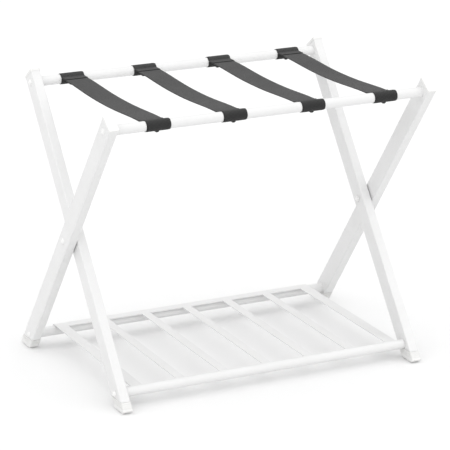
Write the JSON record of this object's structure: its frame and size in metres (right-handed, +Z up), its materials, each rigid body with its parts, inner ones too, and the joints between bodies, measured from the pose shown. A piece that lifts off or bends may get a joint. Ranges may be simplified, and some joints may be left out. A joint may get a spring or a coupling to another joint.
{
  "type": "folding luggage rack",
  "caption": "Low folding stand with two crossed tube frames, webbing straps between its top rails and a slatted shelf below, for holding a suitcase off the floor.",
  "frame": {"origin": "on the floor, at the centre of the footprint", "axes": "+X along the rails (the long side), to the right seen from the front; -Y is the front, where the shelf turns; +Z up"},
  "size_m": [0.608, 0.4045, 0.504],
  "materials": {
    "white_powder_coat": "satin powder coat",
    "white_plastic": "matte moulded plastic",
    "white_screw": "satin painted steel",
    "rail_insert": "moulded plastic, hidden",
    "nylon_washer": "natural nylon",
    "strap_webbing": "woven dark grey webbing",
    "strap_screw": "satin dark grey"
  },
  "bodies": {
    "outer_frame": {"outer_leg_left": "white_powder_coat", "outer_leg_right": "white_powder_coat", "outer_top_cap_left": "white_plastic", "outer_top_cap_right": "white_plastic", "outer_foot_left": "white_plastic", "outer_foot_right": "white_plastic", "top_rail_front": "white_powder_coat", "bottom_rail_back": "white_powder_coat", "outer_rail_screws": "white_screw", "outer_rail_inserts": "rail_insert", "pivot_bolt_left": "white_screw", "pivot_bolt_right": "white_screw", "pivot_washer_left": "nylon_washer", "pivot_washer_right": "nylon_washer", "pivot_nut_left": "white_screw", "pivot_nut_right": "white_screw", "strap_1": "strap_webbing", "strap_2": "strap_webbing", "strap_3": "strap_webbing", "strap_4": "strap_webbing", "strap_screws_front": "strap_screw"},
    "inner_frame": {"inner_leg_left": "white_powder_coat", "inner_leg_right": "white_powder_coat", "inner_top_cap_left": "white_plastic", "inner_top_cap_right": "white_plastic", "inner_foot_left": "white_plastic", "inner_foot_right": "white_plastic", "top_rail_back": "white_powder_coat", "inner_rail_screws": "white_screw", "inner_rail_inserts": "rail_insert", "strap_screws_back": "strap_screw"},
    "shelf": {"shelf_rail_front": "white_powder_coat", "shelf_slat_1": "white_powder_coat", "shelf_slat_2": "white_powder_coat", "shelf_slat_3": "white_powder_coat", "shelf_slat_4": "white_powder_coat", "shelf_slat_5": "white_powder_coat", "shelf_slat_6": "white_powder_coat", "shelf_slat_7": "white_powder_coat", "shelf_hook_strip": "white_powder_coat", "shelf_hook_lip": "white_powder_coat", "shelf_pivot_screws": "white_screw", "shelf_rail_inserts": "rail_insert"}
  },
  "joints": [
    {"name": "frame_fold", "type": "hinge", "parent": "outer_frame", "child": "inner_frame", "pos_m": [0, 0, 0.245], "axis": [1, 0, 0], "range_deg": [0, 68], "deforming": ["strap_1", "strap_2", "strap_3", "strap_4"]},
    {"name": "shelf_fold", "type": "hinge", "parent": "inner_frame", "child": "shelf", "pos_m": [0, -0.16626, 0.02595], "axis": [1, 0, 0], "range_deg": [0, 52]}
  ]
}
